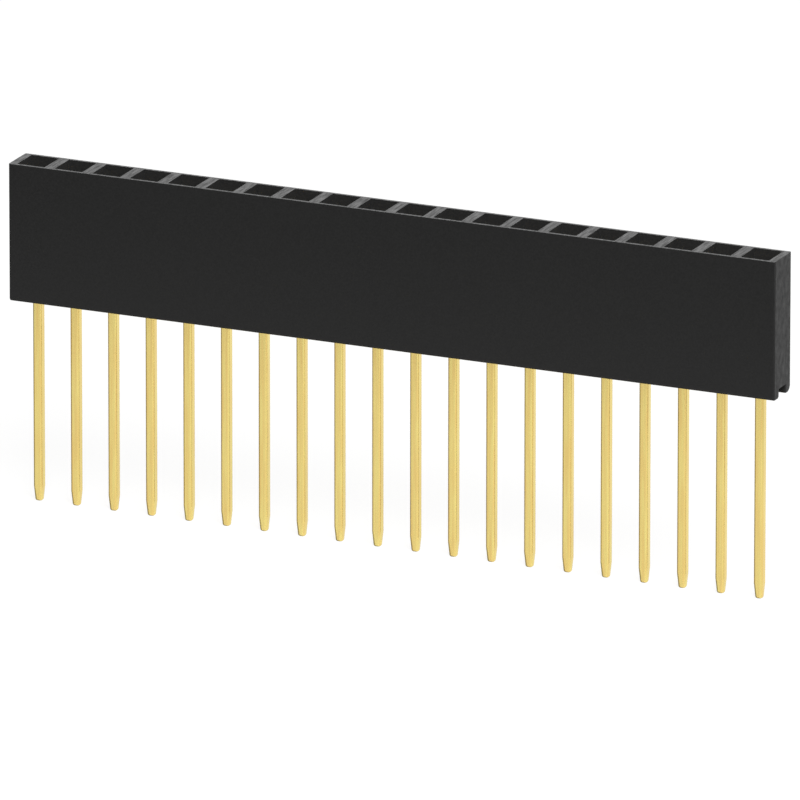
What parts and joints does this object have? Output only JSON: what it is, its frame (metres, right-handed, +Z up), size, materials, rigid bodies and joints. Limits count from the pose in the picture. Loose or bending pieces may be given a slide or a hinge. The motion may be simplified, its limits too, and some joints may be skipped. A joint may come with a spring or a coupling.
{
  "type": "socket header",
  "caption": "Slim black moulded strip with a row of square wells open at the top, each holding a gold spring contact whose long square tail leaves below.",
  "frame": {"origin": "on the plane of the housing's feet, where they meet the board, at the middle of the row's length and width", "axes": "+X along the row, +Y across it, +Z up out of the mouths of the wells; the tails point along -Z"},
  "size_m": [0.0512, 0.0024, 0.0218],
  "materials": {
    "black_moulding": "moulded black thermoplastic, fine satin texture",
    "gold_contact": "thin gold plating over drawn copper alloy, satin"
  },
  "bodies": {
    "root": {"housing": "black_moulding", "contact_01": "gold_contact", "contact_02": "gold_contact", "contact_03": "gold_contact", "contact_04": "gold_contact", "contact_05": "gold_contact", "contact_06": "gold_contact", "contact_07": "gold_contact", "contact_08": "gold_contact", "contact_09": "gold_contact", "contact_10": "gold_contact", "contact_11": "gold_contact", "contact_12": "gold_contact", "contact_13": "gold_contact", "contact_14": "gold_contact", "contact_15": "gold_contact", "contact_16": "gold_contact", "contact_17": "gold_contact", "contact_18": "gold_contact", "contact_19": "gold_contact", "contact_20": "gold_contact"}
  },
  "joints": []
}
